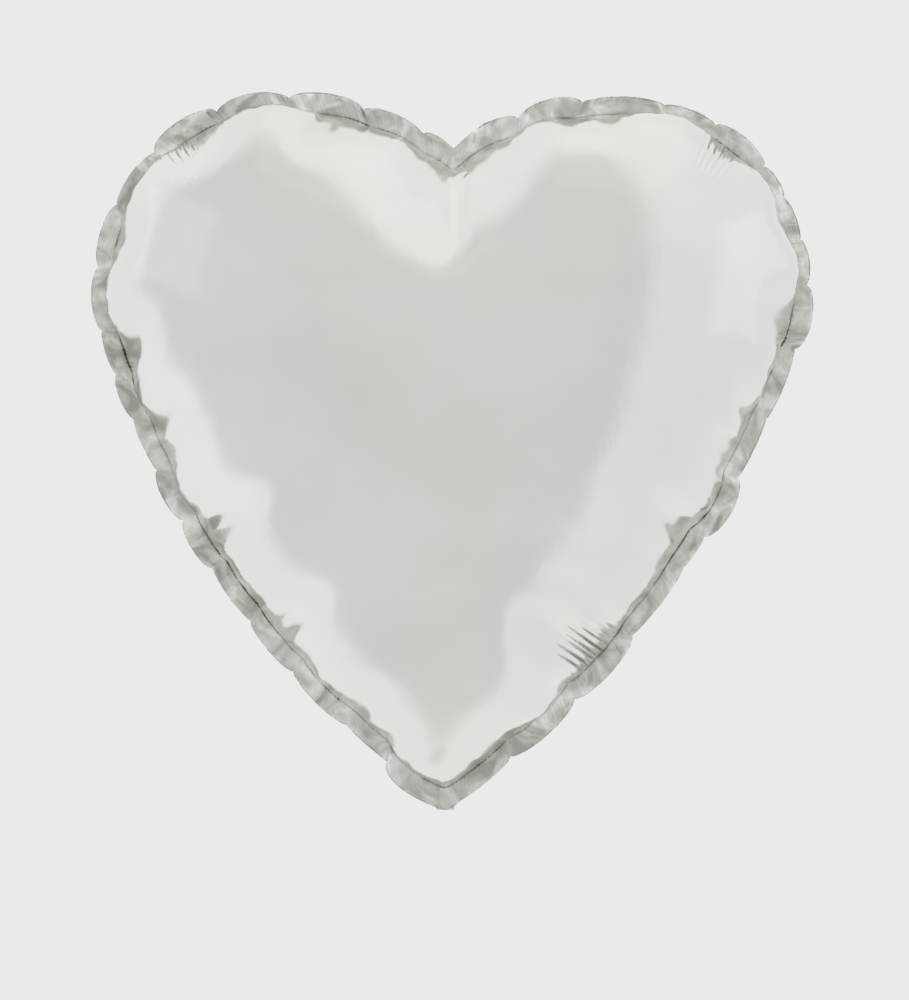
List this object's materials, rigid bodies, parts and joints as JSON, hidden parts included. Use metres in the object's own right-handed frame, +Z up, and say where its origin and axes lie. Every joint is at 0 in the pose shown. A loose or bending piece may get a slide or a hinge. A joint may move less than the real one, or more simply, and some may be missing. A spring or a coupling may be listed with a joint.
{
  "type": "heart-shaped foil balloon",
  "caption": "Inflated heart-shaped foil balloon: metallised film panels welded round a crimped rim, with a self-sealing valve tail folded up behind the point.",
  "frame": {"origin": "foot of the heart: the lowest point of the fold where the tail leaves the balloon and a ribbon is tied, on the centre plane", "axes": "+Z up from the fold to the lobes, X across the heart, -Y towards the front panel, +Y towards the back panel"},
  "size_m": [0.379, 0.1612, 0.378],
  "materials": {
    "foil_panel": "mirror-bright vacuum-metallised film, silver",
    "foil_weld": "heat-welded silver film with a faint pressed texture",
    "foil_tail": "slack silver film, lightly creased",
    "valve_film": "clear polyethylene film",
    "release_ink": "printed heat-resistant ink"
  },
  "bodies": {
    "balloon": {"front_panel": "foil_panel", "back_panel": "foil_panel", "perimeter_seal": "foil_weld", "valve_throat_front": "valve_film", "valve_throat_back": "valve_film", "valve_release_patch": "release_ink"},
    "tail": {"tail_fold_crease": "foil_tail", "tail_front_ply": "foil_tail", "tail_back_ply": "foil_tail", "tail_edge_seals": "foil_weld", "valve_sleeve_front": "valve_film", "valve_sleeve_back": "valve_film", "valve_edge_seals": "valve_film"},
    "valve_front_lip": {"valve_lip_front": "valve_film"},
    "valve_back_lip": {"valve_lip_back": "valve_film"}
  },
  "joints": [
    {"name": "tail_fold", "type": "hinge", "parent": "balloon", "child": "tail", "pos_m": [0, 0, 0.001], "axis": [-1, 0, 0], "range_deg": [0, 135]},
    {"name": "valve_lip_open", "type": "hinge", "parent": "balloon", "child": "valve_front_lip", "pos_m": [0, -0.00015, 0.0171], "axis": [1, 0, 0], "range_deg": [0, 4], "stiffness_Nm_per_rad": 0.0001},
    {"name": "valve_back_lip_open", "type": "hinge", "parent": "balloon", "child": "valve_back_lip", "pos_m": [0, 0.00015, 0.0171], "axis": [1, 0, 0], "range_deg": [-4, 0], "stiffness_Nm_per_rad": 0.0001}
  ],
  "couplings": [
    {"joint": "valve_back_lip_open", "follows": "valve_lip_open", "ratio": -1}
  ]
}
